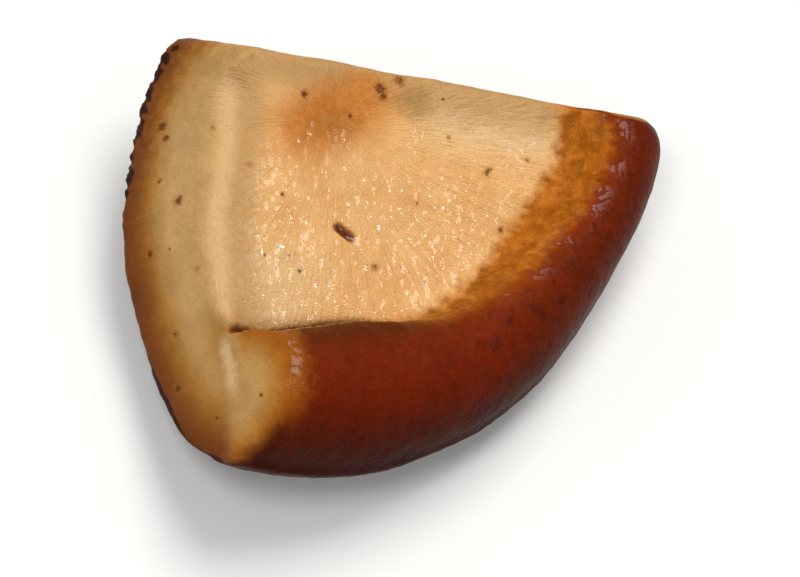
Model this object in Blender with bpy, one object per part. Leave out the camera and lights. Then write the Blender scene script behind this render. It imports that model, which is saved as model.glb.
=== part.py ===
"""A knife-cut wedge of a shiitake mushroom cap, lying on its domed skin.

The cap is modelled in its own frame first: the gill plane is z = 0, the stem
scar is at the origin, the skin dome hangs below and the inrolled margin stands
a little above the gills.  Two knife cuts make the wedge.  Then the wedge is
turned to the attitude in which it lies at rest, and the dome gets the small
flat patch on which its own weight settles it.  Metres, +Z up.
"""

import math

import bmesh
import bpy
from mathutils import Matrix, Vector

MM = 0.001

# ---- driving dimensions (millimetres, cap frame) ----
DOME_CENTRE = (-3.0, -4.5)         # plan position of the thickest part
DOME_DEPTH = 11.9                  # flesh thickness below the gill plane
MARGIN_OUTLINE = (                 # plan of the cap edge, clockwise from the right
    (28.2, 2.5), (27.0, -3.0), (24.4, -8.0), (21.4, -12.8), (17.5, -17.9),
    (13.0, -21.9), (7.6, -25.0), (1.5, -27.2), (-5.0, -27.9), (-11.0, -26.6),
    (-18.5, -19.0), (-22.0, -8.0), (-18.5, 2.5), (-12.0, 8.0), (-3.0, 13.0),
    (12.0, 15.5), (25.0, 10.0),
)
DOME_FALL = (                      # (direction in degrees, how soon the dome rises to its edge)
    (-170, 0.38), (-120, 0.41), (-90, 0.50), (-60, 0.66), (-20, 0.78), (20, 0.74),
    (60, 0.58), (110, 0.38), (150, 0.33),
)
ROLL_WIDTH = (                     # (direction in degrees, width of the inrolled edge)
    (-140, 8.5), (-110, 9.2), (-90, 10.6), (-70, 10.7), (-45, 9.2), (-20, 8.1),
    (0, 7.6), (14, 6.9), (40, 6.5), (100, 6.0), (170, 6.0),
)
ROLL_HEIGHT = (                    # (direction in degrees, crest of the roll above its centre)
    (-150, 2.0), (-120, 4.6), (-80, 4.6), (-30, 4.3), (10, 4.0), (40, 2.0),
    (75, 0.0), (120, 0.0), (165, 0.0),
)
ROLL_CENTRE = 0.3                  # height of the roll's centre line
GROOVE = 0.9                       # depth of the groove along the roll
SIDE_CUT_X = -8.1                  # first knife cut on the gill plane
SIDE_CUT_LEAN = 0.30               # its slope, x per z
SIDE_CUT_BOW = 1.1                 # how far that cut bulges
TOP_CUT_Y = 4.75                   # second knife cut on the gill plane
TOP_CUT_LEAN = -0.36               # its slope, y per z
FLAT_DEPTH = 0.35                  # how much the dome is flattened where it rests

# ---- lying attitude: the down direction in the cap frame, and the turn on the table ----
DOWN = Vector((0.278, -0.196, -0.940)).normalized()
YAW = math.radians(27.0)

WELD = 0.04                        # points closer than this become one
SEGMENTS = 96
DOME_RINGS = 15
ROLL_RINGS = 13
GILL_RINGS = 6


def periodic(knots, angle):
    """Catmull-Rom value at an angle, through (degrees, value) knots around the circle."""
    ring = sorted(knots)
    n = len(ring)
    angle = (angle + 180.0) % 360.0 - 180.0
    k = sum(1 for a, _ in ring if a <= angle) - 1
    a1, v1 = ring[k % n]
    a2, v2 = ring[(k + 1) % n]
    v0 = ring[(k - 1) % n][1]
    v3 = ring[(k + 2) % n][1]
    span = (a2 - a1) % 360.0
    t = ((angle - a1) % 360.0) / span
    return 0.5 * (2 * v1 + (v2 - v0) * t + (2 * v0 - 5 * v1 + 4 * v2 - v3) * t * t
                  + (3 * v1 - v0 - 3 * v2 + v3) * t * t * t)


def outline_knots():
    knots = []
    for x, y in MARGIN_OUTLINE:
        dx, dy = x - DOME_CENTRE[0], y - DOME_CENTRE[1]
        knots.append((math.degrees(math.atan2(dy, dx)), math.hypot(dx, dy)))
    return knots


def profile(deg):
    """(distance out, height) from the bottom of the dome, round the roll, to the middle of the gills."""
    radius = periodic(outline_knots(), deg)
    width = periodic(ROLL_WIDTH, deg)
    rise = max(0.0, periodic(ROLL_HEIGHT, deg))
    fall = periodic(DOME_FALL, deg)
    points = []
    centre = ROLL_CENTRE * min(1.0, rise / 4.0)
    drop = DOME_DEPTH + centre
    for i in range(1, DOME_RINGS):
        out = math.sin(math.radians(90.0 * i / DOME_RINGS))
        points.append((radius * out, centre - drop * (1 - out * out) ** fall))
    half = width / 2
    for i in range(ROLL_RINGS + 1):
        a = math.radians(185.0 * i / ROLL_RINGS)
        points.append((radius - half + half * math.cos(a), centre + rise * math.sin(a)))
    inner = radius - width
    groove = GROOVE * min(1.0, rise / 4.0)
    points.append((inner - 0.5, -groove))
    points.append((inner - 1.6, -0.35 * groove))
    for i in range(1, GILL_RINGS):
        points.append(((inner - 2.4) * (1 - i / GILL_RINGS), 0.0))
    return points


def add_object(name, bm, hidden=False):
    mesh = bpy.data.meshes.new(name)
    bm.to_mesh(mesh)
    bm.free()
    obj = bpy.data.objects.new(name, mesh)
    bpy.context.scene.collection.objects.link(obj)
    if hidden:
        obj.hide_render = True
        obj.display_type = "WIRE"
    return obj


def whole_cap():
    bm = bmesh.new()
    rings = None
    cx, cy = DOME_CENTRE
    bottom = bm.verts.new((cx * MM, cy * MM, -DOME_DEPTH * MM))
    top = bm.verts.new((cx * MM, cy * MM, 0.0))
    for s in range(SEGMENTS):
        deg = -180.0 + 360.0 * s / SEGMENTS
        a = math.radians(deg)
        column = [bm.verts.new(((cx + r * math.cos(a)) * MM, (cy + r * math.sin(a)) * MM, z * MM))
                  for r, z in profile(deg)]
        if rings is None:
            rings = [[] for _ in column]
        for ring, vertex in zip(rings, column):
            ring.append(vertex)
    for s in range(SEGMENTS):
        n = (s + 1) % SEGMENTS
        bm.faces.new((bottom, rings[0][n], rings[0][s]))
        bm.faces.new((top, rings[-1][s], rings[-1][n]))
        for lower, upper in zip(rings, rings[1:]):
            bm.faces.new((lower[s], lower[n], upper[n], upper[s]))
    bmesh.ops.recalc_face_normals(bm, faces=bm.faces)
    return add_object("shiitake_cap_piece", bm)


def knife(name, surface, outward, across, size=60.0, steps=20):
    """A block whose near face follows surface(u, z), reaching outward; u runs along across."""
    bm = bmesh.new()
    grid = []
    for i in range(steps + 1):
        u = -size / 2 - 8 + size * i / steps
        row = []
        for j in range(9):
            z = -22.0 + 36.0 * j / 8
            base = across * u + Vector((0, 0, z)) + outward * surface(u, z)
            row.append(bm.verts.new(base * MM))
        grid.append(row)
    faces = []
    for i in range(steps):
        for j in range(8):
            faces.append(bm.faces.new((grid[i][j], grid[i + 1][j], grid[i + 1][j + 1], grid[i][j + 1])))
    moved = bmesh.ops.extrude_face_region(bm, geom=faces)["geom"]
    verts = [g for g in moved if isinstance(g, bmesh.types.BMVert)]
    bmesh.ops.translate(bm, verts=verts, vec=outward * 45.0 * MM)
    bmesh.ops.recalc_face_normals(bm, faces=bm.faces)
    return add_object(name, bm, hidden=True)


def block(name, z_top):
    """A plain block under the height z_top."""
    bm = bmesh.new()
    bmesh.ops.create_cube(bm, size=1.0)
    bmesh.ops.scale(bm, vec=(0.2, 0.2, 0.04), verts=bm.verts)
    bmesh.ops.translate(bm, vec=(0, 0, z_top - 0.02), verts=bm.verts)
    return add_object(name, bm, hidden=True)


def cut(target, cutter):
    modifier = target.modifiers.new(cutter.name, "BOOLEAN")
    modifier.operation = "DIFFERENCE"
    modifier.solver = "EXACT"
    modifier.object = cutter


def apply_modifiers(obj):
    """Keep the cut shape, welding the slivers that a knife leaves along an edge."""
    graph = bpy.context.evaluated_depsgraph_get()
    done = bpy.data.meshes.new_from_object(obj.evaluated_get(graph))
    obj.modifiers.clear()
    bm = bmesh.new()
    bm.from_mesh(done)
    bmesh.ops.triangulate(bm, faces=bm.faces)
    bmesh.ops.remove_doubles(bm, verts=bm.verts, dist=WELD * MM)
    bmesh.ops.dissolve_degenerate(bm, edges=bm.edges, dist=WELD * MM)
    bm.to_mesh(done)
    bm.free()
    obj.data = done


def skin_material():
    material = bpy.data.materials.new("mushroom_flesh_and_skin")
    material.use_nodes = True
    shader = material.node_tree.nodes["Principled BSDF"]
    shader.inputs["Base Color"].default_value = (0.62, 0.42, 0.20, 1.0)
    shader.inputs["Roughness"].default_value = 0.45
    shader.inputs["Metallic"].default_value = 0.0
    return material


for old in list(bpy.data.objects):
    bpy.data.objects.remove(old, do_unlink=True)

cap = whole_cap()
side = knife("side_knife", lambda u, z: -SIDE_CUT_X - SIDE_CUT_LEAN * z
             + SIDE_CUT_BOW * math.exp(-((u + 9.0) / 7.0) ** 2),
             Vector((-1, 0, 0)), Vector((0, 1, 0)), size=60.0)
top = knife("top_knife", lambda u, z: TOP_CUT_Y + TOP_CUT_LEAN * z,
            Vector((0, 1, 0)), Vector((1, 0, 0)), size=80.0)
cut(cap, side)
cut(cap, top)
apply_modifiers(cap)

# Lay the wedge down: DOWN becomes -Z, then the turn on the table.
turn = Matrix.Rotation(YAW, 4, "Z") @ DOWN.rotation_difference(Vector((0, 0, -1))).to_matrix().to_4x4()
cap.data.transform(turn)
lowest = min(v.co.z for v in cap.data.vertices)
flat = block("rest_flat", lowest + FLAT_DEPTH * MM)
cut(cap, flat)
apply_modifiers(cap)

xs = [v.co.x for v in cap.data.vertices]
ys = [v.co.y for v in cap.data.vertices]
zs = [v.co.z for v in cap.data.vertices]
shift = Vector((-(min(xs) + max(xs)) / 2, -(min(ys) + max(ys)) / 2, -min(zs)))
cap.data.transform(Matrix.Translation(shift))

for helper in (side, top, flat):
    bpy.data.objects.remove(helper, do_unlink=True)

cap.data.materials.clear()
cap.data.materials.append(skin_material())
cap.data.shade_smooth()
cap.data.set_sharp_from_angle(angle=math.radians(35))
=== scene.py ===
import math

import bpy
import numpy as np
from mathutils import Matrix, Vector


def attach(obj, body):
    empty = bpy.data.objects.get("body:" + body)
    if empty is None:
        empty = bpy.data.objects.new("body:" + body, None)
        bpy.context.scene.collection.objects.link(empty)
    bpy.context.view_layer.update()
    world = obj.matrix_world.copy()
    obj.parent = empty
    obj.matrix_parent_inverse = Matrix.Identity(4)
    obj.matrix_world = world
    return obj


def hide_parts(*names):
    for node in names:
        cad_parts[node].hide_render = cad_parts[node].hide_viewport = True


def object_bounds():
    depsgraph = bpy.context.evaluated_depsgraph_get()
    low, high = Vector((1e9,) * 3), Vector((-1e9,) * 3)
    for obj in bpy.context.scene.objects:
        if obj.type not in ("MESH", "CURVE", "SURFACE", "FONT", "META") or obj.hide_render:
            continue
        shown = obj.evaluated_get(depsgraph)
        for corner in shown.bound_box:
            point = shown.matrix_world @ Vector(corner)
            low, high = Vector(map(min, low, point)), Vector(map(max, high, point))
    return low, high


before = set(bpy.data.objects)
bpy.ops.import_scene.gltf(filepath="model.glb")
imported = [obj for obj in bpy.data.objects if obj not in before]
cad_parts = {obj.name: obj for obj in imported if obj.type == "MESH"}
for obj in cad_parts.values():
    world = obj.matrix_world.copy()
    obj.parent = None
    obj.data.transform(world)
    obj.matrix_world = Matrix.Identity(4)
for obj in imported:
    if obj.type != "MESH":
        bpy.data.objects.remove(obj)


def plain(box):
    return [[float(v) for v in corner] for corner in box]


cad_box = plain(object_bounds())

# ---------------------------------------------------------------- the cap's own frame (mm)
# Gill plane z = 0, stem scar at the origin, dome below, inrolled margin above.
# TURN and SHIFT lay it down exactly as the CAD piece lies.
TURN = np.array([[0.8427347, -0.4199571, 0.3367999],
                 [0.4609338, 0.8861112, -0.0484449],
                 [-0.2780974, 0.1960687, 0.9403291]])
SHIFT = np.array([-5.2634, 5.5862, 12.82])
CELL = 0.214                      # size of the sampling cell

DOME_CENTRE = (-3.0, -4.5)
DOME_DEPTH = 11.9
MARGIN_OUTLINE = ((28.2, 2.5), (27.0, -3.0), (24.4, -8.0), (21.4, -12.8), (17.5, -17.9), (13.0, -21.9),
                  (7.6, -25.0), (1.5, -27.2), (-5.0, -27.9), (-11.0, -26.6), (-18.5, -19.0), (-22.0, -8.0),
                  (-18.5, 2.5), (-12.0, 8.0), (-3.0, 13.0), (12.0, 15.5), (25.0, 10.0))
DOME_FALL = ((-170, 0.38), (-120, 0.41), (-90, 0.50), (-60, 0.66), (-20, 0.78), (20, 0.74), (60, 0.58),
             (110, 0.38), (150, 0.33))
ROLL_WIDTH = ((-140, 8.5), (-110, 9.2), (-90, 10.6), (-70, 10.7), (-45, 9.2), (-20, 8.1), (0, 7.6),
              (14, 6.9), (40, 6.5), (100, 6.0), (170, 6.0))
ROLL_HEIGHT = ((-150, 2.0), (-120, 4.6), (-80, 4.6), (-30, 4.3), (10, 4.0), (40, 2.0), (75, 0.0),
               (120, 0.0), (165, 0.0))
ROLL_CENTRE = 0.3
GROOVE = 0.9
SIDE_CUT_X, SIDE_CUT_LEAN, SIDE_CUT_BOW = -8.1, 0.30, 1.1
TOP_CUT_Y, TOP_CUT_LEAN = 4.75, -0.36
SLIT = (1.25, -8.56)
SLIT_DIR = (0.891, -0.453)


def table(knots):
    """A periodic Catmull-Rom curve through (degrees, value) knots, tabulated every half degree."""
    ring = sorted(knots)
    n = len(ring)
    values = []
    for angle in np.arange(-180.0, 180.5, 0.5):
        k = sum(1 for a, _ in ring if a <= angle) - 1
        a1, v1 = ring[k % n]
        a2, v2 = ring[(k + 1) % n]
        v0, v3 = ring[(k - 1) % n][1], ring[(k + 2) % n][1]
        t = ((angle - a1) % 360.0) / ((a2 - a1) % 360.0)
        values.append(0.5 * (2 * v1 + (v2 - v0) * t + (2 * v0 - 5 * v1 + 4 * v2 - v3) * t * t
                             + (3 * v1 - v0 - 3 * v2 + v3) * t * t * t))
    return np.array(values)


ANGLES = np.arange(-180.0, 180.5, 0.5)
T_RADIUS = table([(math.degrees(math.atan2(y - DOME_CENTRE[1], x - DOME_CENTRE[0])),
                   math.hypot(x - DOME_CENTRE[0], y - DOME_CENTRE[1])) for x, y in MARGIN_OUTLINE])
T_FALL, T_WIDTH, T_RISE = table(DOME_FALL), table(ROLL_WIDTH), np.maximum(table(ROLL_HEIGHT), 0.0)

rng = np.random.default_rng(20)
GRADIENTS = rng.normal(size=(256, 3))
GRADIENTS /= np.linalg.norm(GRADIENTS, axis=1)[:, None]
SHUFFLE = rng.permutation(256)


def perlin(points, seed=0):
    """Smooth gradient noise, about -1 to 1, one cell per unit."""
    base = np.floor(points).astype(np.int64)
    f = points - base
    u = f * f * f * (f * (f * 6 - 15) + 10)
    total = np.zeros(len(points))
    for cx in (0, 1):
        for cy in (0, 1):
            for cz in (0, 1):
                k = SHUFFLE[(base[:, 0] + cx + 17 * seed) & 255]
                k = SHUFFLE[(k + base[:, 1] + cy) & 255]
                k = SHUFFLE[(k + base[:, 2] + cz) & 255]
                d = f - np.array([cx, cy, cz])
                w = (np.where(cx, u[:, 0], 1 - u[:, 0]) * np.where(cy, u[:, 1], 1 - u[:, 1])
                     * np.where(cz, u[:, 2], 1 - u[:, 2]))
                total += w * (GRADIENTS[k] * d).sum(1)
    return total * 1.6


def smooth(lo, hi, v):
    t = np.clip((v - lo) / (hi - lo), 0.0, 1.0)
    return t * t * (3 - 2 * t)


def smax(a, b, k):
    h = np.clip(0.5 + 0.5 * (a - b) / k, 0.0, 1.0)
    return b + (a - b) * h + k * h * (1 - h)


def smin(a, b, k):
    return -smax(-a, -b, k)


def parts_of(points, detail):
    """The signed distances, negative inside, of the surfaces that bound the piece, and the places on them."""
    x, y, z = points[:, 0], points[:, 1], points[:, 2]
    dx, dy = x - DOME_CENTRE[0], y - DOME_CENTRE[1]
    rho = np.hypot(dx, dy) + 1e-6
    deg = np.degrees(np.arctan2(dy, dx))
    radius = np.interp(deg, ANGLES, T_RADIUS)
    fall = np.interp(deg, ANGLES, T_FALL)
    width = np.interp(deg, ANGLES, T_WIDTH)
    rise = np.interp(deg, ANGLES, T_RISE)
    centre = ROLL_CENTRE * np.minimum(1.0, rise / 4.0)
    drop = DOME_DEPTH + centre
    big = fine = tiny = wob = 0.0
    if detail:
        big = perlin(points / 7.0, 1)
        fine = perlin(points / 2.3, 2)
        tiny = perlin(points / 0.85, 3)
        wob = perlin(points / 4.0 + 9.0, 4)
        ripple = perlin(points / 1.15, 8)
    # dome
    u = np.maximum((centre - z) / drop, 0.0)
    g = (rho / radius) ** 2 + u ** (1 / fall) - 1
    gz = (1 / fall) * np.maximum(u, 1e-9) ** (1 / fall - 1) / drop
    gr = 2 * rho / radius ** 2
    dome = np.clip(g / np.sqrt(gr * gr + gz * gz + 2e-4), -9.0, 30.0)
    # inrolled margin: an ellipse that leans in over the gills
    half = width / 2
    high = np.maximum(rise, 0.15)
    lean = 0.16 * smooth(-40, -85, deg) * smooth(-175, -130, deg) + 0.05
    mid = radius - half - lean * np.maximum(z - centre, 0.0)
    ex, ez = (rho - mid) / half, (z - centre) / high
    e = np.sqrt(ex * ex + ez * ez) + 1e-6
    roll = (e - 1) * e / np.sqrt((ex / half) ** 2 + (ez / high) ** 2 + 1e-9)
    roll = np.maximum(roll, centre - 2.5 - z)
    # gill face
    inner = rho - (radius - width)            # 0 at the crease, negative on the gills
    live = np.minimum(1.0, rise / 4.0)
    shut = smooth(-25.0, -70.0, deg)          # the fold is deep near the side cut and fades along the margin
    top = -0.85 * GROOVE * live * shut * np.exp(-((inner + 0.18) / 0.36) ** 2)
    top = top - 0.45 * np.exp(-((x - 5.5) ** 2 + (y + 7.0) ** 2) / 60.0)
    sx, sy = x - 0.2, y - 0.6
    along, across = 0.86 * sx + 0.51 * sy, -0.51 * sx + 0.86 * sy
    scar = np.exp(-(np.abs(along / 6.4) ** 2.6 + np.abs(across / 2.9) ** 2.6))
    top = top - 0.42 * scar
    sl = (x - SLIT[0]) * SLIT_DIR[0] + (y - SLIT[1]) * SLIT_DIR[1]
    sc = -(x - SLIT[0]) * SLIT_DIR[1] + (y - SLIT[1]) * SLIT_DIR[0]
    slit = np.exp(-((sl / 1.05) ** 4 + (sc / 0.42) ** 2))
    top = top - 0.42 * slit
    from_scar = np.hypot(x, y)
    turn = np.arctan2(y, x)
    lamella = 0.0
    if detail:
        top = top + 0.22 * big + 0.10 * wob
        warp = turn + 0.035 * perlin(np.stack([x / 5.0, y / 5.0, 0 * x + 3.0], 1), 6)
        one = 0.5 + 0.5 * np.cos(84 * warp)
        two = 0.5 + 0.5 * np.cos(168 * warp)
        split = smooth(9.5, 13.0, from_scar + 1.5 * wob)
        lamella = one * (1 - split) + two * split
        outer = smooth(-13.0, -3.0, inner)
        keep = (smooth(4.5, 8.0, from_scar) * smooth(-4.5, 1.5, x) * smooth(0.6, -0.8, inner)
                * (0.35 + 0.65 * smooth(-0.4, 0.5, wob)) * (0.25 + 0.75 * outer))
        top = top - 0.09 * keep * (1 - lamella) + 0.02 * tiny + 0.060 * ripple
        # skin: folds on the outside, short fibres where the margin rolls in
        pull = perlin(np.stack([deg * 0.42, rho * 0.25, z * 0.3], 1), 5)
        edge_in = smooth(width * 0.45, 0.0, inner) * (z > centre)
        skin_relief = (0.16 * big + 0.055 * fine + 0.020 * tiny + 0.035 * ripple
                       + 0.07 * pull * (0.35 + 0.65 * edge_in))
        dome = dome + skin_relief
        roll = roll + skin_relief
        # the skin stands ragged where the knife tore it, high on the side cut
        torn = perlin(points / np.array([1.2, 0.62, 0.62]), 7)
        near = x - (SIDE_CUT_X + SIDE_CUT_LEAN * z - SIDE_CUT_BOW * np.exp(-((y + 9.0) / 7.0) ** 2))
        dome = dome + 0.75 * torn * smooth(2.2, 0.2, near) * smooth(-9.0, -2.0, y)
    lower = smax(dome, z - top, 0.35)
    outside = smooth(width * 0.55, width * 0.9, inner)
    skin = smin(dome + 0 * z, roll, 0.2)
    fillet = 0.22 + 2.4 * smooth(-66.0, -35.0, deg) * smooth(0.75, 0.2, inner / width) * smooth(0.8, 3.2, rise)
    body = smin(lower, roll, fillet + 1.2 * outside)
    # how far below the skin a place in the flesh is: the roll's arc and the dome, which meet at its outer edge
    below = centre - z
    arc = (1 - e) * high
    blend = smooth(-0.8, 0.8, below)
    open_side = 9.0 * np.maximum(smooth(2.6, 0.6, rise), smooth(-116.0, -134.0, deg))
    under = smin(-dome, smax(arc, np.hypot(inner, below) + 2.4, 1.0) + open_side, 0.6)
    depth = np.clip((1 - blend) * arc + blend * under, 0.0, 12.0)
    # knife cuts
    side = (SIDE_CUT_X + SIDE_CUT_LEAN * z - SIDE_CUT_BOW * np.exp(-((y + 9.0) / 7.0) ** 2) - x) / 1.044
    back = (y - (TOP_CUT_Y + TOP_CUT_LEAN * z)) / 1.063
    if detail:
        side = side + 0.10 * wob + 0.035 * fine + 0.014 * tiny + 0.040 * ripple
        back = back + 0.12 * wob + 0.035 * fine + 0.014 * tiny + 0.040 * ripple
    soft = (0.45 + (2.6 + 1.6 * smooth(-15.0, -11.5, y)) * smooth(-5.0, -1.2, z) * smooth(0.3, -2.2, inner)
            + 1.4 * smooth(0.3, 1.8, inner) * smooth(-1.0, 0.8, z))
    knives = smax(side, back, 1.8)
    soft_back = 0.55 + 0.9 * smooth(width * 0.3, width * 0.9, inner)
    sharp = np.where(side > back, soft, soft_back)
    # blend between the two radii so that no step shows
    mix = np.clip(0.5 + (side - back) / 4.0, 0, 1)
    sharp = soft_back + (soft - soft_back) * mix
    solid = smax(body, knives, sharp)
    rest = -(points @ TURN[2] + SHIFT[2])
    solid = smax(solid, rest + 0.0, 0.12)
    return dict(solid=solid, body=body, dome=dome, roll=roll, side=side, back=back, knives=knives, rest=rest,
                inner=inner, width=width, radius=radius, rho=rho, deg=deg, centre=centre, z=z, top=top, rise=rise,
                depth=depth, scar=scar, slit=slit, from_scar=from_scar, sl=sl, sc=sc, lower=lower)


def solid(points, detail=True):
    return parts_of(points, detail)["solid"]


def net(lo, hi, cell):
    """Surface nets over a box: one vertex in each cell the surface crosses, one quad for each crossed edge."""
    counts = [int(math.ceil((hi[i] - lo[i]) / cell)) + 1 for i in range(3)]
    axes = [lo[i] + cell * np.arange(counts[i]) for i in range(3)]
    values = np.empty(counts, np.float32)
    yy, zz = np.meshgrid(axes[1], axes[2], indexing="ij")
    for start in range(0, counts[0], 24):
        xs = axes[0][start:start + 24]
        block = np.empty((len(xs), counts[1] * counts[2], 3))
        block[:, :, 0] = xs[:, None]
        block[:, :, 1] = yy.ravel()
        block[:, :, 2] = zz.ravel()
        values[start:start + 24] = solid(block.reshape(-1, 3), False).reshape(len(xs), counts[1], counts[2])
    inside = values < 0
    corners = [(a, b, c) for a in (0, 1) for b in (0, 1) for c in (0, 1)]
    shape = tuple(n - 1 for n in counts)
    total = np.zeros(shape, np.int8)
    for a, b, c in corners:
        total += inside[a:a + shape[0], b:b + shape[1], c:c + shape[2]]
    active = (total > 0) & (total < 8)
    ids = np.full(shape, -1, np.int64)
    cells = np.argwhere(active)
    ids[active] = np.arange(len(cells))
    at = {k: values[cells[:, 0] + k[0], cells[:, 1] + k[1], cells[:, 2] + k[2]].astype(float) for k in corners}
    place = np.zeros((len(cells), 3))
    hits = np.zeros(len(cells))
    for i, ka in enumerate(corners):
        for kb in corners[i + 1:]:
            if sum(abs(p - q) for p, q in zip(ka, kb)) != 1:
                continue
            va, vb = at[ka], at[kb]
            cross = (va < 0) != (vb < 0)
            t = np.where(cross, va / np.where(cross, va - vb, 1.0), 0.0)
            place += cross[:, None] * (np.array(ka) + t[:, None] * (np.array(kb) - np.array(ka)))
            hits += cross
    verts = np.array(lo) + cell * (cells + place / hits[:, None])
    quads = []
    for axis in range(3):
        first = [slice(None)] * 3
        second = [slice(None)] * 3
        first[axis], second[axis] = slice(0, -1), slice(1, None)
        a, b = inside[tuple(first)], inside[tuple(second)]
        edges = np.argwhere(a != b)
        p, q = (axis + 1) % 3, (axis + 2) % 3
        ok = (edges[:, p] > 0) & (edges[:, q] > 0) & (edges[:, p] < counts[p] - 1) & (edges[:, q] < counts[q] - 1)
        edges = edges[ok]
        leaving = a[tuple(edges.T)]
        ring = []
        for op, oq in ((-1, -1), (0, -1), (0, 0), (-1, 0)):
            cell_at = edges.copy()
            cell_at[:, p] += op
            cell_at[:, q] += oq
            ring.append(ids[tuple(cell_at.T)])
        quad = np.stack(ring, 1)
        quad[~leaving] = quad[~leaving][:, ::-1]
        quads.append(quad)
    return verts, np.concatenate(quads)


def gradient(points, detail=True, step=0.02, here=None):
    """The gradient by central differences, or by one-sided ones when the value here is known."""
    g = np.empty_like(points)
    for i in range(3):
        d = np.zeros(3)
        d[i] = step
        if here is None:
            g[:, i] = (solid(points + d, detail) - solid(points - d, detail)) / (2 * step)
        else:
            g[:, i] = (solid(points + d, detail) - here) / step
    return g


def settle(points, detail, rounds, most=0.12):
    for _ in range(rounds):
        f = solid(points, detail)
        g = gradient(points, detail, 0.01, f)
        move = f[:, None] * g / np.maximum((g * g).sum(1), 0.05)[:, None]
        length = np.linalg.norm(move, axis=1)
        points = points - move * np.minimum(1.0, most / np.maximum(length, 1e-9))[:, None]
    return points


def relax(points, quads, share=0.5):
    """Slide each point towards the middle of its neighbours, along the surface."""
    total = np.zeros_like(points)
    count = np.zeros(len(points))
    for i in range(4):
        a, b = quads[:, i], quads[:, (i + 1) % 4]
        for s, t in ((a, b), (b, a)):
            for k in range(3):
                total[:, k] += np.bincount(s, points[t, k], len(points))
            count += np.bincount(s, minlength=len(points))
    step = total / count[:, None] - points
    g = gradient(points, False)
    g /= np.linalg.norm(g, axis=1)[:, None] + 1e-9
    step -= (step * g).sum(1)[:, None] * g
    return points + share * step


verts, quads = net((-15.5, -29.5, -13.2), (29.5, 12.5, 6.4), CELL)
for _ in range(2):
    verts = relax(settle(verts, False, 1), quads)
verts = settle(verts, True, 5)
facts = parts_of(verts, True)
normals = gradient(verts, True)
normals /= np.linalg.norm(normals, axis=1)[:, None] + 1e-9

# ---------------------------------------------------------------- what each place on it is
inner, width, dome_at = facts["inner"], facts["width"], facts["dome"]
X_MM, Y_MM, Z_MM = verts.T
across = np.clip(1 - inner / width, -1.5, 2.5)         # 0 at the outer edge of the margin, 1 at the crease
under = smooth(-1.6, -0.5, dome_at) * smooth(0.5, -0.5, Z_MM - facts["centre"])
way = np.clip(across * (1 - 2 * under), -1.6, 1.6)     # the same, and negative round the back on the dome
edge = facts["knives"] - facts["body"]                 # mm past the brink of a knife cut
on_side = smooth(-0.6, 0.6, facts["side"] - facts["back"])
ridge = facts["knives"] - (Z_MM - facts["top"])        # mm past the brink where a cut meets the gills
soft_cut = smooth(-0.6 - 1.7 * on_side, 0.3 + 2.6 * on_side, ridge)
# where the skin gives way to the gills, and where it turns amber, round the margin
GILL_BRINK = ((-175, 1.02), (-100, 1.02), (-75, 1.01), (-60, 1.01), (-45, 1.05), (-35, 1.09), (-25, 1.12),
              (-15, 1.17), (-5, 1.25), (5, 1.32), (15, 1.24), (25, 1.12), (40, 1.05), (120, 1.0))
AMBER_BRINK = ((-175, 0.97), (-100, 0.98), (-60, 0.98), (-45, 0.98), (-35, 0.96), (-25, 0.95), (-15, 0.86),
               (-5, 0.83), (5, 0.84), (15, 0.80), (40, 0.8), (120, 0.9))
gill_brink = np.interp(facts["deg"], [a for a, _ in GILL_BRINK], [b for _, b in GILL_BRINK])
amber_brink = np.interp(facts["deg"], [a for a, _ in AMBER_BRINK], [b for _, b in AMBER_BRINK])
to_gills = (across - gill_brink) * width
to_gills = to_gills + 7.0 * np.maximum(smooth(24.0, 34.0, facts["deg"]), smooth(-132.0, -142.0, facts["deg"]))
to_gills = np.where(under > 0.3, -6.0, to_gills)
# how thick the skin shows in section: a heavy ragged rind high on the side cut, thin elsewhere, and low on the side cut
# below the lobe a wider dark band, part skin and part painted shade along the bottom edge
rind_and_shade = 0.12 + on_side * (0.66 * smooth(-8.0, -1.5, Y_MM) - 0.04) - 0.5 * on_side * smooth(-2.2, 0.0, Z_MM) * smooth(-12.0, -15.0, Y_MM)
# part skin, part painted shade: a wider dark band along the bottom edge of the side cut below the lobe
rind_and_shade = rind_and_shade + 0.5 * on_side * smooth(-17.0, -21.0, Y_MM) * smooth(-4.0, -6.5, Z_MM)
to_amber = (across - amber_brink) * width

piece_mesh = bpy.data.meshes.new("shiitake_wedge")
world = (verts @ TURN.T + SHIFT) * 0.001
# the last fifth of a millimetre: no axis reaches past the solid that this surface stands for
for axis in range(3):
    lo, hi = world[:, axis].min(), world[:, axis].max()
    want_lo, want_hi = max(lo, cad_box[0][axis] + 3e-5), min(hi, cad_box[1][axis] - 3e-5)
    if axis == 2:
        want_lo = 0.0
    world[:, axis] = want_lo + (world[:, axis] - lo) * (want_hi - want_lo) / (hi - lo)
tri = quads
piece_mesh.vertices.add(len(world))
piece_mesh.vertices.foreach_set("co", world.astype(np.float32).ravel())
piece_mesh.loops.add(len(tri) * 4)
piece_mesh.loops.foreach_set("vertex_index", tri.astype(np.int32).ravel())
piece_mesh.polygons.add(len(tri))
piece_mesh.polygons.foreach_set("loop_start", np.arange(0, len(tri) * 4, 4, dtype=np.int32))
piece_mesh.update(calc_edges=True)
piece_mesh.validate()
piece_mesh.shade_smooth()


def store(name, values, kind="FLOAT"):
    layer = piece_mesh.attributes.new(name, kind, "POINT")
    layer.data.foreach_set("value" if kind == "FLOAT" else "vector", np.asarray(values, np.float32).ravel())


def clouds(size, seed, octaves=3):
    """Noise about 0.5, in blots of about this size in mm, for the colours."""
    total, share = 0.0, 0.0
    for octave in range(octaves):
        total = total + 0.5 ** octave * perlin(verts * 2 ** octave / size + 13.7 * octave, seed + octave)
        share += 0.5 ** octave
    return 0.5 + 0.30 * total / share


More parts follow.
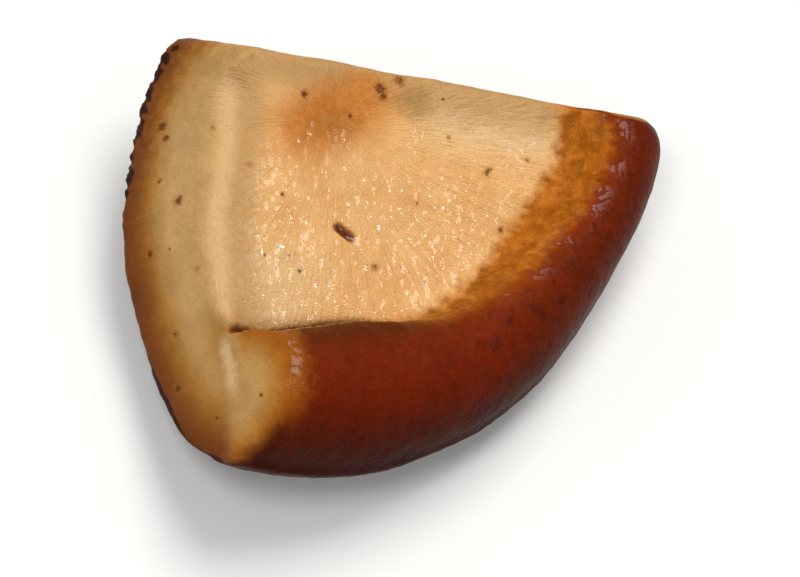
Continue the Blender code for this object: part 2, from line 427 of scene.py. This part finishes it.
# specks of soil and dried juice, in the cap's frame: x, y, z and radius
SPECKS = [(4.2, 3.3, -0.2, 0.50), (4.5, 2.8, -0.2, 0.30), (5.9, 4.3, -0.2, 0.38), (-2.3, 1.8, -0.2, 0.28),
          (13.5, -1.9, -0.2, 0.30), (13.8, -1.6, -0.2, 0.22), (17.1, -0.3, -0.2, 0.22), (-6.8, -4.5, -0.8, 0.26),
          (3.8, -10.9, -0.2, 0.28), (-6.8, -15.5, -0.8, 0.24), (-6.3, -14.1, -0.6, 0.20), (14.8, -6.3, -0.2, 0.24),
          (10.2, 0.4, -0.2, 0.18), (7.5, -5.2, -0.2, 0.17), (-10.6, 0.0, -7.5, 0.40), (-10.8, 0.3, -7.9, 0.26),
          (-10.5, -1.1, -7.1, 0.28), (-10.5, -6.7, -4.9, 0.34), (-11.0, -4.6, -7.1, 0.22), (-9.1, -1.4, -2.2, 0.22),
          (-8.3, -1.8, 0.0, 0.24), (-11.4, -10.3, -7.6, 0.26), (-10.2, -16.8, -5.8, 0.24), (-9.9, -21.0, -5.9, 0.30),
          (-9.9, -12.4, -3.0, 0.18)]
pale = np.flatnonzero((edge > 0.4) | ((to_gills > 0.6) & (edge < -1.0)))
for pick in rng.choice(pale, 24, replace=False):
    SPECKS.append((*verts[pick], float(rng.uniform(0.09, 0.19))))
speck = np.full(len(verts), 9.0)
for sx, sy, sz, size in SPECKS:
    speck = np.minimum(speck, np.sqrt((X_MM - sx) ** 2 + (Y_MM - sy) ** 2 + ((Z_MM - sz) * 0.8) ** 2) / size)
deg = facts["deg"]
on_lobe = smooth(0.2, 1.2, inner) * smooth(-0.8, 0.4, Z_MM) * on_side
gills_low = smooth(-0.5, -6.0, Y_MM) * smooth(0.2, 1.0, to_gills)
rim_wet = smooth(-1.9, -0.5, to_amber) * smooth(2.4, 1.2, to_amber) * smooth(-60.0, -30.0, deg)
lobe_wet = smooth(-2.2, -0.4, edge) * smooth(0.8, -0.3, edge) * smooth(0.4, 0.6, across) * smooth(-86.0, -96.0, deg)
wet = np.maximum.reduce([0.9 * gills_low, 0.55 * rim_wet * smooth(0.48, 0.58, clouds(1.7, 31)), 0.6 * lobe_wet * smooth(0.44, 0.56, clouds(1.3, 33)),
                         0.6 * smooth(0.50, 0.60, clouds(3.0, 41)) * smooth(0.0, 0.8, to_gills)])
wet = wet * (1 - 0.85 * smooth(-3.6, -1.6, ridge) * smooth(0.5, -0.5, inner)) * (1 - 0.9 * smooth(-0.6, 0.2, edge))
wet = np.maximum(wet, 0.12 * under * smooth(0.42, 0.55, clouds(4.0, 51)))

store("cap", verts, "FLOAT_VECTOR")
store("n_medium", clouds(2.2, 11))
store("n_patches", clouds(3.4, 21))
store("n_blots", clouds(1.05, 61))
store("speck", speck)
store("wet", wet)
store("rind_and_shade", rind_and_shade)
store("on_lobe", on_lobe)
store("depth", facts["depth"])
store("way", way)
store("inner", inner)
store("edge", edge)
store("soft_cut", soft_cut)
store("ridge", ridge)
store("to_gills", to_gills)
store("to_amber", to_amber)
store("under", under)
store("scar", facts["scar"])
store("slit", facts["slit"])
store("round_at", facts["deg"])
piece = bpy.data.objects.new("shiitake_wedge", piece_mesh)
bpy.context.scene.collection.objects.link(piece)
print("triangles", len(tri) * 2)


# ---------------------------------------------------------------- material
def linear(r, g, b):
    def one(v):
        v /= 255.0
        return v / 12.92 if v <= 0.04045 else ((v + 0.055) / 1.055) ** 2.4
    return (one(r), one(g), one(b), 1.0)


class Graph:
    """A few short names for building a node tree."""

    def __init__(self, material):
        material.use_nodes = True
        self.tree = material.node_tree
        self.tree.nodes.clear()

    def node(self, kind, **settings):
        made = self.tree.nodes.new(kind)
        for key, value in settings.items():
            setattr(made, key, value)
        return made

    def put(self, socket, value):
        if isinstance(value, bpy.types.NodeSocket):
            self.tree.links.new(value, socket)
        elif value is not None:
            socket.default_value = value

    def attribute(self, name, vector=False):
        made = self.node("ShaderNodeAttribute", attribute_name=name)
        return made.outputs["Vector" if vector else "Fac"]

    def math(self, operation, a, b=None, c=None, clamp=False):
        made = self.node("ShaderNodeMath", operation=operation, use_clamp=clamp)
        for socket, value in zip(made.inputs, (a, b, c)):
            self.put(socket, value)
        return made.outputs[0]

    def vector(self, operation, a, b=None, scale=None):
        made = self.node("ShaderNodeVectorMath", operation=operation)
        self.put(made.inputs[0], a)
        if b is not None:
            self.put(made.inputs[1], b)
        if scale is not None:
            self.put(made.inputs["Scale"], scale)
        return made.outputs["Value" if operation in ("LENGTH", "DISTANCE", "DOT_PRODUCT") else "Vector"]

    def step(self, value, lo, hi, to_lo=0.0, to_hi=1.0, kind="SMOOTHSTEP"):
        made = self.node("ShaderNodeMapRange", interpolation_type=kind, clamp=True)
        for socket, v in zip(made.inputs, (value, lo, hi, to_lo, to_hi)):
            self.put(socket, v)
        return made.outputs[0]

    def noise(self, vector, scale, detail=3.0, rough=0.55, distort=0.0):
        made = self.node("ShaderNodeTexNoise", noise_dimensions="3D")
        self.put(made.inputs["Vector"], vector)
        made.inputs["Scale"].default_value = scale
        made.inputs["Detail"].default_value = detail
        made.inputs["Roughness"].default_value = rough
        made.inputs["Distortion"].default_value = distort
        return made.outputs["Fac"]

    def cells(self, vector, scale, feature="F1", rand=1.0):
        made = self.node("ShaderNodeTexVoronoi", voronoi_dimensions="3D", feature=feature)
        self.put(made.inputs["Vector"], vector)
        made.inputs["Scale"].default_value = scale
        made.inputs["Randomness"].default_value = rand
        return made.outputs["Distance"]

    def mix(self, factor, a, b, kind="MIX"):
        made = self.node("ShaderNodeMix", data_type="RGBA", blend_type=kind)
        self.put(made.inputs[0], factor)
        self.put(made.inputs[6], a)
        self.put(made.inputs[7], b)
        return made.outputs[2]

    def ramp(self, value, stops):
        made = self.node("ShaderNodeValToRGB")
        ramp = made.color_ramp
        while len(ramp.elements) < len(stops):
            ramp.elements.new(0.5)
        for element, (place, colour) in zip(ramp.elements, stops):
            element.position = place
            element.color = colour
        self.put(made.inputs[0], value)
        return made.outputs[0]

    def join(self, x, y, z):
        made = self.node("ShaderNodeCombineXYZ")
        for socket, value in zip(made.inputs, (x, y, z)):
            self.put(socket, value)
        return made.outputs[0]


material = bpy.data.materials.new("shiitake_flesh_and_skin")
g = Graph(material)
cap = g.attribute("cap", True)
split = g.node("ShaderNodeSeparateXYZ")
g.put(split.inputs[0], cap)
X, Y, Z = split.outputs
depth_at = g.attribute("depth")
way_at = g.attribute("way")
inner_at = g.attribute("inner")
edge_at = g.attribute("edge")
soft_cut_at = g.attribute("soft_cut")
ridge_at = g.attribute("ridge")
to_gills_at = g.attribute("to_gills")
to_amber_at = g.attribute("to_amber")
under_at = g.attribute("under")
scar_at = g.attribute("scar")
slit_at = g.attribute("slit")
deg_at = g.attribute("round_at")


def swing(noise, gain):
    """A noise that swings to both sides of nought."""
    return g.math("MULTIPLY_ADD", noise, gain, -0.5 * gain)


def add(*terms):
    total = terms[0]
    for term in terms[1:]:
        total = g.math("ADD", total, term)
    return total


def times(*terms):
    total = terms[0]
    for term in terms[1:]:
        total = g.math("MULTIPLY", total, term)
    return total


def shade(paint, noise, gain, level=1.0):
    """The same colour made lighter and darker with a noise."""
    return g.vector("SCALE", paint, scale=g.math("MULTIPLY_ADD", noise, gain, level - 0.5 * gain))


medium = g.attribute("n_medium")
patches = g.attribute("n_patches")
blots = g.attribute("n_blots")
small = g.noise(cap, 1.6, 2.0)
grain = g.noise(cap, 5.5, 1.5, 0.6)

# polar coordinates round the stem scar, for everything that runs with the gills
angle = g.math("ARCTAN2", Y, X)
away = g.vector("LENGTH", g.join(X, Y, 0.0))
fan = g.join(times(angle, 24.0), times(away, 0.40), times(Z, 0.6))
streaks = g.noise(fan, 1.0, 2.0, 0.6, 0.3)
fan_fine = g.join(times(angle, 62.0), times(away, 0.55), times(Z, 0.8))
streaks_fine = g.noise(fan_fine, 1.0, 1.0, 0.6)

# ---- gill face: peach, creamier along the cut and at the back, orange round the stem scar
GILL_PEACH, GILL_DEEP = linear(229, 178, 116), linear(220, 163, 99)
GILL_CREAM, GILL_PALE = linear(222, 182, 130), linear(226, 191, 142)
gill_colour = g.mix(g.step(patches, 0.38, 0.66), GILL_PEACH, GILL_DEEP)
gill_colour = g.mix(times(g.step(blots, 0.48, 0.72), 0.55), gill_colour, linear(236, 188, 124))
back_pale = times(g.step(Y, -2.5, 2.5), g.step(X, 5.0, 11.0))
gill_colour = g.mix(back_pale, gill_colour, GILL_PALE)
fold_pale = times(g.step(Y, -8.5, -13.0), g.step(X, 2.0, -5.0))
gill_colour = g.mix(times(fold_pale, 0.85), gill_colour, GILL_CREAM)
strip = g.step(add(ridge_at, swing(medium, 1.2)), -4.0, -1.2)
gill_colour = g.mix(times(strip, 0.90), gill_colour, linear(188, 147, 96))
lines_where = times(g.step(X, -3.0, 6.0), g.step(away, 5.0, 10.0))
gill_colour = g.mix(times(g.step(streaks, 0.50, 0.74), lines_where, 0.34), gill_colour, linear(196, 138, 78))
gill_colour = g.mix(times(g.step(streaks_fine, 0.54, 0.76), lines_where, 0.28), gill_colour, linear(188, 130, 70))
gill_colour = g.mix(times(g.step(streaks_fine, 0.46, 0.28), lines_where, 0.25), gill_colour, linear(240, 202, 150))
rusty = g.step(add(scar_at, swing(medium, 0.45)), 0.10, 0.95)
gill_colour = g.mix(rusty, gill_colour, g.mix(g.step(small, 0.35, 0.7), linear(198, 122, 52), linear(208, 136, 66)))
olive = g.vector("DISTANCE", g.vector("MULTIPLY", cap, (1.0, 1.2, 0.0)), (7.2, 3.3, 0.0))
gill_colour = g.mix(times(g.step(add(olive, swing(small, 1.6)), 2.3, 0.4), 0.62), gill_colour, linear(160, 120, 66))
brim = g.step(to_gills_at, 1.6, 0.1)
gill_colour = g.mix(times(brim, g.step(small, 0.35, 0.65), 0.55), gill_colour, linear(206, 150, 82))

# ---- flesh on the knife cuts, browner towards the skin
wander = add(depth_at, swing(medium, 1.3), swing(small, 0.7))
UNDER_DOME = ((0.0, (102, 52, 14)), (0.6, (108, 56, 17)), (1.2, (116, 62, 20)), (2.0, (126, 74, 25)),
              (3.0, (144, 92, 34)), (4.0, (158, 110, 50)), (5.2, (174, 130, 72)), (8.0, (188, 148, 94)))
UNDER_ROLL = ((0.0, (152, 86, 19)), (0.6, (158, 96, 28)), (1.2, (168, 113, 44)), (2.0, (180, 132, 70)),
              (3.0, (186, 144, 86)), (5.0, (178, 138, 84)), (8.0, (176, 136, 82)))
flesh = g.mix(g.step(Z, -1.8, 0.8),
              g.ramp(g.step(wander, 0.0, 8.0, kind="LINEAR"), [(d / 8.0, linear(*c)) for d, c in UNDER_DOME]),
              g.ramp(g.step(wander, 0.0, 8.0, kind="LINEAR"), [(d / 8.0, linear(*c)) for d, c in UNDER_ROLL]))
flesh = shade(flesh, blots, 0.42, 1.07)
flesh = shade(flesh, patches, 0.55)
flesh = shade(flesh, grain, 0.30)
# the lobe's own section: brighter, with a pale streak down its middle
streak_x = g.math("ABSOLUTE", g.math("ADD", g.math("MULTIPLY_ADD", Y, 0.19, Z), 4.55))
lobe_pale = times(g.step(add(streak_x, swing(small, 1.2)), 0.95, 0.1), g.step(Y, -23.2, -21.4), g.step(Y, -17.4, -19.0))
flesh = g.mix(times(lobe_pale, 0.75), flesh, linear(214, 182, 134))
# the skin seen in section: a dark ragged line, thick high up and thin round the lobe; below the lobe it widens into a
# band that is part skin, part painted shade
line_wide = times(g.attribute("rind_and_shade"), g.math("MULTIPLY_ADD", blots, 1.6, 0.2))
line = g.math("SUBTRACT", add(depth_at, swing(grain, 0.16)), line_wide)
flesh = g.mix(g.step(line, 0.12, -0.04), flesh, linear(48, 20, 6))

# ---- skin
w = add(way_at, swing(medium, 0.12), swing(small, 0.06))


def skin_ramp(stops):
    return g.ramp(g.step(w, -1.6, 1.2, kind="LINEAR"), [((at + 1.6) / 2.8, linear(*c)) for at, c in stops])


# both ramps run darker towards the outer edge of the roll, where it turns down: partly the skin's own colour, partly
# painted shade
front = skin_ramp(((-1.6, (46, 15, 7)), (-0.6, (54, 18, 8)), (-0.15, (56, 19, 7)), (0.0, (58, 18, 4)),
                   (0.12, (80, 23, 3)), (0.28, (101, 27, 2)), (0.45, (112, 30, 2)), (0.72, (114, 33, 3)),
                   (0.84, (120, 39, 4)), (0.92, (138, 62, 10)), (1.02, (166, 100, 34))))
right_side = skin_ramp(((-1.6, (46, 15, 7)), (-0.6, (56, 19, 9)), (-0.15, (76, 27, 10)), (0.0, (86, 31, 9)),
                        (0.12, (90, 32, 8)), (0.28, (94, 30, 5)), (0.45, (100, 29, 3)), (0.62, (108, 32, 3)),
                        (0.76, (128, 46, 4)), (0.86, (152, 70, 8)), (0.98, (178, 98, 18)), (1.2, (190, 116, 32))))
skin = g.mix(g.step(deg_at, -48.0, -14.0), front, right_side)
amber = g.step(add(to_amber_at, swing(streaks, 2.6), swing(blots, 1.6)), -0.5, 0.9)
amber = times(amber, g.step(under_at, 0.5, 0.1))
amber_colour = g.mix(g.step(blots, 0.36, 0.64), linear(166, 92, 15), linear(190, 112, 30))
amber_colour = g.mix(times(g.step(small, 0.50, 0.72), 0.40), amber_colour, linear(208, 136, 50))
amber_colour = g.mix(times(g.step(streaks, 0.54, 0.74), 0.45), amber_colour, linear(146, 70, 8))
skin = g.mix(amber, skin, amber_colour)
# next to the cut the skin is thin and amber
by_cut = times(g.step(add(edge_at, swing(blots, 3.0), swing(small, 1.0)), -2.9, -0.2), g.step(way_at, 0.10, 0.5),
               g.step(deg_at, -78.0, -98.0))
skin = g.mix(times(by_cut, 0.85), skin, linear(158, 90, 16))
# mottling, faint streaks that run out from the stem, and dark pores
skin = shade(skin, patches, 0.50, 0.92)
skin = shade(skin, medium, 0.45)
skin = shade(skin, blots, 0.55)
skin = shade(skin, small, 0.42)
skin = shade(skin, streaks, 0.35)
skin = shade(skin, grain, 0.26)
skin = g.mix(times(g.step(blots, 0.52, 0.66), g.step(deg_at, -62.0, -30.0, 0.35, 0.75), g.step(amber, 0.9, 0.3)), skin, linear(62, 20, 4))
skin = g.mix(times(g.step(small, 0.60, 0.70), g.step(patches, 0.46, 0.56), 0.45), skin, linear(52, 16, 4))

# ---- put them together
ragged = add(to_gills_at, times(add(swing(streaks, 1.2), swing(blots, 2.6), swing(small, 0.7)), g.step(deg_at, -85.0, -40.0, 0.15, 1.0)),
             swing(grain, 0.20))
ragged = times(ragged, g.step(deg_at, -85.0, -45.0, 1.0, 0.42))
gill_mask = g.step(ragged, -0.32, 0.32)
gill_mask = times(gill_mask, g.step(under_at, 0.35, 0.15))
colour = g.mix(gill_mask, skin, gill_colour)
on_lobe = g.attribute("on_lobe")
hard_cut = g.step(add(edge_at, swing(grain, 0.22), times(swing(blots, 1.8), on_lobe)),
                  g.math("MULTIPLY_ADD", on_lobe, -0.75, -0.12), g.math("MULTIPLY_ADD", on_lobe, 0.95, 0.05))
where_gills = g.step(add(inner_at, swing(small, 0.5)), 0.45, -0.45)
soft_part = g.step(add(soft_cut_at, swing(medium, 0.30), swing(small, 0.12)), 0.08, 0.92, kind="LINEAR")
cut_mask = g.mix(where_gills, hard_cut, soft_part)
colour = g.mix(cut_mask, colour, flesh)
# painted highlight: a paler line along the brink between the cut and the gills, where the rounded ridge catches the
# light
painted_ridge_highlight = g.step(g.math("ABSOLUTE", add(ridge_at, -0.9, swing(medium, 1.6))), 1.6, 0.1)
painted_ridge_highlight = times(painted_ridge_highlight, where_gills, g.step(Y, 4.0, 2.0), g.step(inner_at, -0.3, -1.5))
colour = g.mix(times(painted_ridge_highlight, 0.60), colour, linear(228, 191, 140))
# painted shade: a dark line in the crease where the margin rolls over the gills, thick by the cut and thinning out
fold_wide = g.step(deg_at, -112.0, -62.0, 0.80, 0.26, kind="LINEAR")
fold_off = g.math("DIVIDE", g.math("ABSOLUTE", add(inner_at, 0.12, swing(small, 0.4))), fold_wide)
off_cut = g.step(edge_at, 0.0, -0.5)
fold = times(g.step(fold_off, 1.25, 0.45), g.step(deg_at, -48.0, -72.0), g.step(Z, -2.2, -1.2), g.step(Z, 2.2, 1.0), off_cut)
colour = g.mix(times(fold, 0.92), colour, linear(66, 28, 6))
# painted shade, softer and browner, round that line
fold_shade_halo = times(g.step(fold_off, 3.2, 0.8), g.step(deg_at, -60.0, -90.0), g.step(Z, -3.2, -1.2), g.step(Z, 2.2, 0.6))
colour = g.mix(times(fold_shade_halo, g.step(edge_at, 0.6, -0.6), 0.50), colour, linear(130, 74, 20))
# painted shade on the skin just under the fold, below the slit
shade_under_fold = times(g.step(add(inner_at, swing(small, 0.9)), 2.9, 0.8), g.step(inner_at, -0.1, 0.2), g.step(deg_at, -40.0, -62.0),
                   g.step(add(edge_at, swing(blots, 2.0)), -1.4, -3.2), g.step(Z, -1.2, 0.0))
colour = g.mix(times(shade_under_fold, 0.90), colour, linear(80, 28, 4))
# the slit, and the specks of soil and dried juice
slit_cut = add(slit_at, swing(grain, 0.3))
colour = g.mix(g.step(slit_cut, 0.16, 0.50), colour, linear(150, 84, 32))
colour = g.mix(g.step(slit_cut, 0.55, 0.90), colour, linear(92, 40, 10))
speck_at = add(g.attribute("speck"), swing(small, 1.6), swing(grain, 1.3))
pale_place = g.math("MAXIMUM", cut_mask, gill_mask)
colour = g.mix(times(g.step(speck_at, 2.0, 0.8), pale_place, 0.50), colour, linear(150, 92, 34))
colour = g.mix(times(g.step(speck_at, 1.15, 0.45), pale_place, 0.82), colour, linear(96, 46, 12))

# ---- relief too fine for the mesh
lines_relief = times(streaks_fine, g.step(to_gills_at, -0.3, 0.4), 0.9)
height = add(swing(grain, 0.75), times(small, 0.9), lines_relief)
bump = g.node("ShaderNodeBump")
bump.inputs["Distance"].default_value = 0.00026
bump.inputs["Strength"].default_value = 0.62
g.put(bump.inputs["Height"], height)

shader = g.node("ShaderNodeBsdfPrincipled")
g.put(shader.inputs["Base Color"], colour)
rough = add(g.math("MULTIPLY_ADD", grain, 0.22, 0.34), times(pale_place, 0.08))
g.put(shader.inputs["Roughness"], rough)
g.put(shader.inputs["Normal"], bump.outputs[0])
shader.inputs["IOR"].default_value = 1.42
shader.inputs["Specular IOR Level"].default_value = 0.05
shader.inputs["Subsurface Weight"].default_value = 0.22
shader.inputs["Subsurface Radius"].default_value = (1.0, 0.42, 0.14)
shader.inputs["Subsurface Scale"].default_value = 0.0011
g.put(shader.inputs["Coat Weight"], g.math("MULTIPLY_ADD", g.attribute("wet"), 0.98, 0.02, clamp=True))
beads = g.node("ShaderNodeBump")
beads.inputs["Distance"].default_value = 0.00021
beads.inputs["Strength"].default_value = 1.0
g.put(beads.inputs["Height"], g.noise(cap, 1.7, 0.0))
g.put(shader.inputs["Coat Normal"], beads.outputs[0])
shader.inputs["Coat Roughness"].default_value = 0.11
shader.inputs["Coat IOR"].default_value = 1.42
out = g.node("ShaderNodeOutputMaterial")
g.put(out.inputs["Surface"], shader.outputs[0])
piece_mesh.materials.append(material)

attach(piece, "root")
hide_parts("shiitake_cap_piece")

# ---------------------------------------------------------------- floor, light, camera
floor_mesh = bpy.data.meshes.new("studio_floor")
floor_mesh.from_pydata([(-3, -3, 0), (3, -3, 0), (3, 3, 0), (-3, 3, 0)], [], [(0, 1, 2, 3)])
floor = bpy.data.objects.new("studio_floor", floor_mesh)
bpy.context.scene.collection.objects.link(floor)
paper = bpy.data.materials.new("pale_paper")
p = Graph(paper)
matte = p.node("ShaderNodeBsdfPrincipled")
place = p.node("ShaderNodeTexCoord").outputs["Object"]
p.put(matte.inputs["Base Color"], p.mix(p.noise(place, 60.0, 3), (0.86, 0.86, 0.86, 1), (0.89, 0.89, 0.885, 1)))
matte.inputs["Roughness"].default_value = 0.85
p.put(p.node("ShaderNodeOutputMaterial").inputs["Surface"], matte.outputs[0])
floor_mesh.materials.append(paper)

VIEW = np.array([-0.48, -0.29, 0.83])
VIEW /= np.linalg.norm(VIEW)
up = np.array([0.0, 1.0, 0.0]) - VIEW[1] * VIEW
up /= np.linalg.norm(up)
right = np.cross(up, VIEW)
v_w, u_w, r_w = TURN @ VIEW, TURN @ up, TURN @ right
middle = np.array([7.6, -11.2, -3.0])
target = (TURN @ middle + SHIFT) * 0.001


def aim(obj, where, look_at, upward=None):
    back = (Vector(where) - Vector(look_at)).normalized()
    upward = Vector(upward) if upward is not None else Vector((0, 0, 1))
    side = upward.cross(back).normalized()
    top_dir = back.cross(side)
    obj.matrix_world = Matrix.Translation(Vector(where)) @ Matrix((side, top_dir, back)).transposed().to_4x4()


camera = bpy.data.objects.new("camera", bpy.data.cameras.new("camera"))
bpy.context.scene.collection.objects.link(camera)
camera.data.sensor_width = 36.0
DISTANCE = 0.46
camera.data.lens = 13.2 * DISTANCE * 1000 / (800 / 36.0)
camera.data.clip_start = 0.01
camera.data.clip_end = 20.0
aim(camera, target + v_w * DISTANCE, target, u_w)
bpy.context.scene.camera = camera


def lamp(name, where, size, power, colour=(1, 1, 1)):
    data = bpy.data.lights.new(name, "AREA")
    data.shape = "DISK"
    data.size = size
    data.energy = power
    data.color = colour
    obj = bpy.data.objects.new(name, data)
    bpy.context.scene.collection.objects.link(obj)
    aim(obj, where, target)
    return obj


lamp("soft_key", target + 0.55 * (0.55 * v_w + 0.75 * u_w + 0.35 * r_w), 0.35, 1.90, (1.0, 0.98, 0.95))
lamp("near_camera", target + v_w * 0.5 + u_w * 0.10 - r_w * 0.06, 0.16, 0.75, (1.0, 0.98, 0.95))
glint = TURN @ np.array([0.18, 0.14, 0.97])
lamp("glint", target + 0.5 * glint, 0.050, 0.30, (1.0, 0.99, 0.97)).data.use_shadow = False
lamp("soft_fill", target + 0.6 * (0.5 * v_w - 0.1 * u_w - 0.8 * r_w), 0.4, 0.50, (0.97, 0.98, 1.0))

world_shade = bpy.data.worlds.new("studio")
bpy.context.scene.world = world_shade
world_shade.use_nodes = True
sky = world_shade.node_tree.nodes.get("Background") or world_shade.node_tree.nodes.new("ShaderNodeBackground")
sky.inputs[0].default_value = (1.0, 1.0, 1.0, 1.0)
sky.inputs[1].default_value = 0.30

bpy.context.scene.view_settings.view_transform = "Standard"
bpy.context.scene.view_settings.look = "None"
